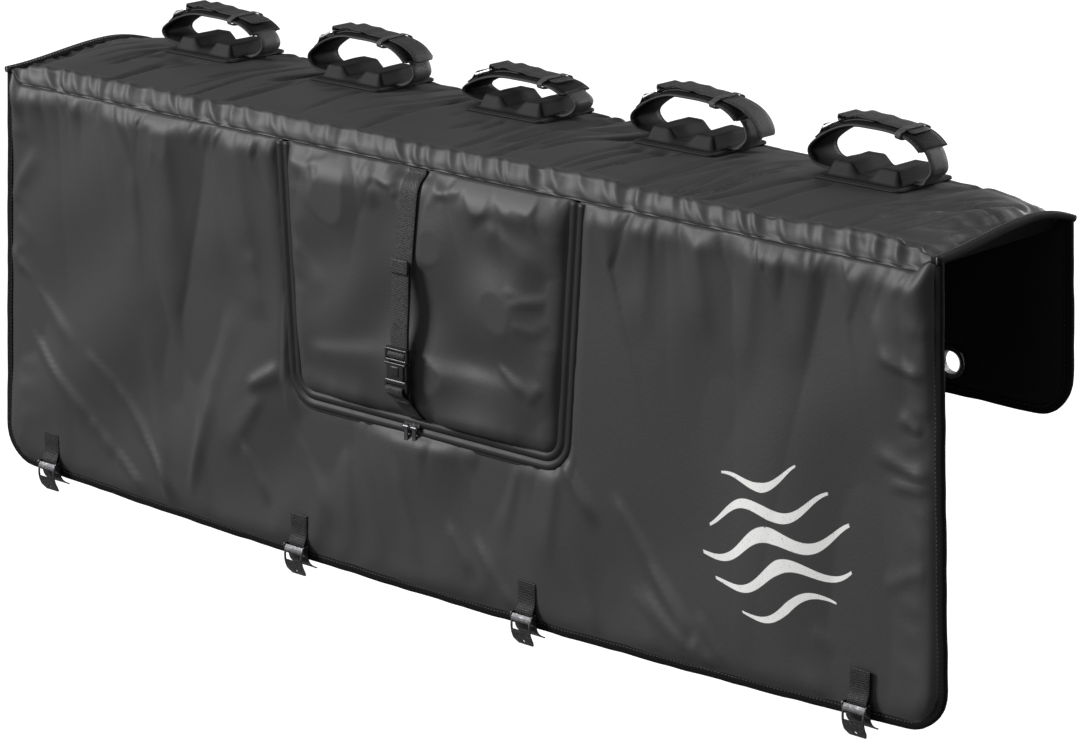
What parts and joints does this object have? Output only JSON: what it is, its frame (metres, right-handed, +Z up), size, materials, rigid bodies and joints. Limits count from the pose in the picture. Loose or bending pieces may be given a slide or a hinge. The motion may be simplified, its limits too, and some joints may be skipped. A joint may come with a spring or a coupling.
{
  "type": "tailgate bike pad",
  "caption": "Padded cover that hangs over a pickup tailgate, with strapped cradles for bicycle down tubes, a zipped window flap, a buckled strap and cam buckles on hem tabs.",
  "frame": {"origin": "middle of the top panel's flat underside, where it rests on the tailgate's top edge", "axes": "+X along the pad's width, +Y from the outer front panel to the inner rear flap, +Z up"},
  "size_m": [1.3962, 0.2738, 0.6047],
  "materials": {
    "coated_shell": "satin",
    "binding_tape": "matte",
    "webbing": "matte",
    "strap_cover": "matte",
    "cradle_cover": "matte",
    "black_plastic": "satin",
    "dark_steel": "satin",
    "bright_steel": "polished"
  },
  "bodies": {
    "pad": {"front_panel": "coated_shell", "window_flap": "coated_shell", "rear_flap": "coated_shell", "top_panel": "coated_shell", "front_binding": "binding_tape", "rear_binding": "binding_tape", "top_binding_left": "binding_tape", "top_binding_right": "binding_tape", "zip": "binding_tape", "flap_strap": "webbing", "buckle_socket": "black_plastic", "socket_webbing": "webbing", "hem_tab_1": "webbing", "cam_frame_1": "dark_steel", "hem_tab_2": "webbing", "cam_frame_2": "dark_steel", "hem_tab_3": "webbing", "cam_frame_3": "dark_steel", "hem_tab_4": "webbing", "cam_frame_4": "dark_steel", "eyelet_left": "bright_steel", "eyelet_washer_left": "bright_steel", "eyelet_right": "bright_steel", "eyelet_washer_right": "bright_steel", "cradle_pad_1": "cradle_cover", "padded_strap_1": "strap_cover", "hook_strap_1": "webbing", "ring_tab_1": "webbing", "cradle_pad_2": "cradle_cover", "padded_strap_2": "strap_cover", "hook_strap_2": "webbing", "ring_tab_2": "webbing", "cradle_pad_3": "cradle_cover", "padded_strap_3": "strap_cover", "hook_strap_3": "webbing", "ring_tab_3": "webbing", "cradle_pad_4": "cradle_cover", "padded_strap_4": "strap_cover", "hook_strap_4": "webbing", "ring_tab_4": "webbing", "cradle_pad_5": "cradle_cover", "padded_strap_5": "strap_cover", "hook_strap_5": "webbing", "ring_tab_5": "webbing"},
    "buckle_plug": {"buckle_plug": "black_plastic"},
    "cam_lever_1": {"cam_lever_1": "dark_steel"},
    "cam_lever_2": {"cam_lever_2": "dark_steel"},
    "cam_lever_3": {"cam_lever_3": "dark_steel"},
    "cam_lever_4": {"cam_lever_4": "dark_steel"},
    "ring_1": {"ring_1": "bright_steel"},
    "ring_2": {"ring_2": "bright_steel"},
    "ring_3": {"ring_3": "bright_steel"},
    "ring_4": {"ring_4": "bright_steel"},
    "ring_5": {"ring_5": "bright_steel"},
    "zip_slider_left": {"zip_slider_left": "dark_steel"},
    "zip_slider_right": {"zip_slider_right": "dark_steel"},
    "zip_pull_left": {"zip_pull_left": "dark_steel"},
    "zip_pull_right": {"zip_pull_right": "dark_steel"}
  },
  "joints": [
    {"name": "zip_slide_left", "type": "slide", "parent": "pad", "child": "zip_slider_left", "axis": [-1, 0, 0], "range_m": [0, 0.14]},
    {"name": "zip_slide_right", "type": "slide", "parent": "pad", "child": "zip_slider_right", "axis": [1, 0, 0], "range_m": [0, 0.17]},
    {"name": "zip_pull_swing_left", "type": "hinge", "parent": "zip_slider_left", "child": "zip_pull_left", "pos_m": [-0.025, -0.1207, -0.2915], "axis": [-1, 0, 0], "range_deg": [0, 120]},
    {"name": "zip_pull_swing_right", "type": "hinge", "parent": "zip_slider_right", "child": "zip_pull_right", "pos_m": [-0.013, -0.1207, -0.2915], "axis": [-1, 0, 0], "range_deg": [0, 120]},
    {"name": "buckle_release", "type": "slide", "parent": "pad", "child": "buckle_plug", "axis": [0, 0, 1], "range_m": [0, 0.02], "deforming": ["flap_strap"]},
    {"name": "cam_lever_swing_1", "type": "hinge", "parent": "pad", "child": "cam_lever_1", "pos_m": [-0.612, -0.1252, -0.45723], "axis": [-1, 0, 0], "range_deg": [0, 60]},
    {"name": "cam_lever_swing_2", "type": "hinge", "parent": "pad", "child": "cam_lever_2", "pos_m": [-0.195, -0.1252, -0.46825], "axis": [-1, 0, 0], "range_deg": [0, 60]},
    {"name": "cam_lever_swing_3", "type": "hinge", "parent": "pad", "child": "cam_lever_3", "pos_m": [0.15, -0.1252, -0.46876], "axis": [-1, 0, 0], "range_deg": [0, 60]},
    {"name": "cam_lever_swing_4", "type": "hinge", "parent": "pad", "child": "cam_lever_4", "pos_m": [0.597, -0.1252, -0.45783], "axis": [-1, 0, 0], "range_deg": [0, 60]},
    {"name": "ring_lift_1", "type": "hinge", "parent": "pad", "child": "ring_1", "pos_m": [-0.54693, 0.054, 0.07605], "axis": [0, -1, 0], "range_deg": [0, 5]},
    {"name": "ring_lift_2", "type": "hinge", "parent": "pad", "child": "ring_2", "pos_m": [-0.30587, 0.054, 0.07957], "axis": [0, -1, 0], "range_deg": [0, 5]},
    {"name": "ring_lift_3", "type": "hinge", "parent": "pad", "child": "ring_3", "pos_m": [-0.06607, 0.054, 0.0708], "axis": [0, -1, 0], "range_deg": [0, 5]},
    {"name": "ring_lift_4", "type": "hinge", "parent": "pad", "child": "ring_4", "pos_m": [0.17537, 0.054, 0.07934], "axis": [0, -1, 0], "range_deg": [0, 5]},
    {"name": "ring_lift_5", "type": "hinge", "parent": "pad", "child": "ring_5", "pos_m": [0.41587, 0.054, 0.08282], "axis": [0, -1, 0], "range_deg": [0, 5]}
  ]
}
